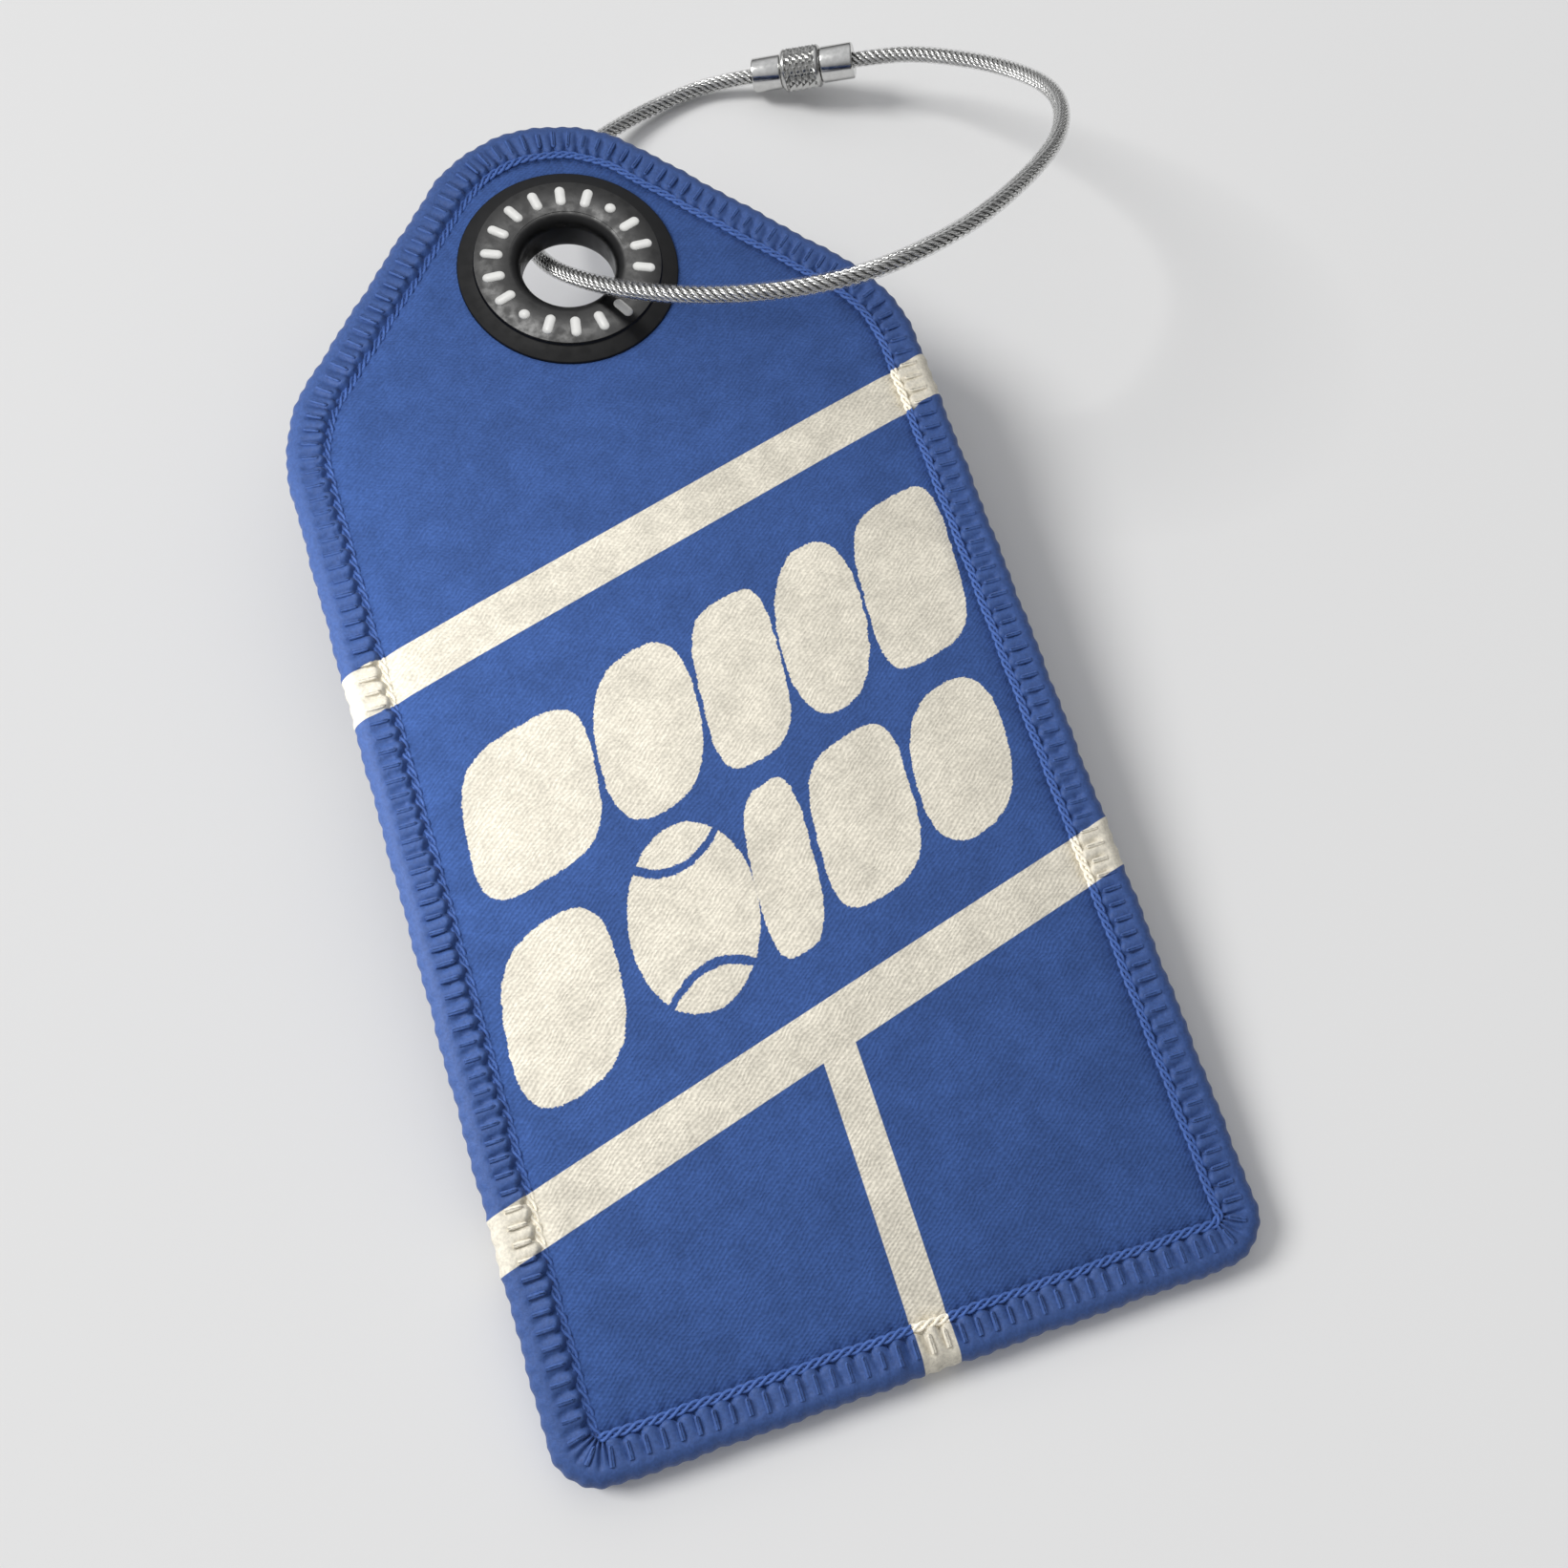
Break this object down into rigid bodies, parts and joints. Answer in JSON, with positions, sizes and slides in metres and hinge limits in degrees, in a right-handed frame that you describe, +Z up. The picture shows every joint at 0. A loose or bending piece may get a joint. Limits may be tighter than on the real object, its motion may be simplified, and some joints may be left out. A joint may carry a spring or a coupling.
{
  "type": "luggage tag",
  "caption": "Fabric luggage tag with a pointed top, overlocked edge, plastic eyelet and a coated steel wire loop closed by a knurled screw clasp.",
  "frame": {"origin": "on the table below the middle of the tag panel, at the bottom centre of the panel and eyelet without the loose wire loop", "axes": "+Y runs from the square bottom edge to the pointed tip, +X across the tag to the right as seen from the printed front, +Z up; the panel is tilted 7 degrees about X, tip raised"},
  "size_m": [0.097, 0.1595, 0.031],
  "materials": {
    "printed_fabric": "matte",
    "back_fabric": "matte",
    "core_felt": "matte",
    "edge_thread": "satin",
    "eyelet_plastic": "gloss",
    "rope_steel": "satin",
    "clear_coating": "gloss",
    "clasp_steel": "gloss",
    "nut_steel": "satin"
  },
  "bodies": {
    "tag": {"front_cover": "printed_fabric", "back_cover": "back_fabric", "core_board": "core_felt", "edge_stitching": "edge_thread", "eyelet_front": "eyelet_plastic", "eyelet_back": "eyelet_plastic"},
    "loop": {"wire_rope": "rope_steel", "cable_coating": "clear_coating", "stud_sleeve": "clasp_steel", "stop_ferrule": "clasp_steel"},
    "collar": {"clasp_collar": "clasp_steel"},
    "nut": {"clasp_nut": "nut_steel"}
  },
  "joints": [
    {"name": "loop_swing", "type": "hinge", "parent": "tag", "child": "loop", "pos_m": [0, 0.05062, 0.01655], "axis": [0, -0.891, 0.454], "range_deg": [0, 120]},
    {"name": "collar_travel", "type": "slide", "parent": "loop", "child": "collar", "axis": [-0.9076, 0.3248, -0.266], "range_m": [0, 0.002]},
    {"name": "nut_turn", "type": "hinge", "parent": "collar", "child": "nut", "pos_m": [0.0404, 0.0857, 0.0044], "axis": [-0.9076, 0.3248, -0.266], "range_deg": [0, 1440]}
  ],
  "couplings": [
    {"joint": "nut_turn", "follows": "collar_travel", "rad_per_m": 12566}
  ]
}
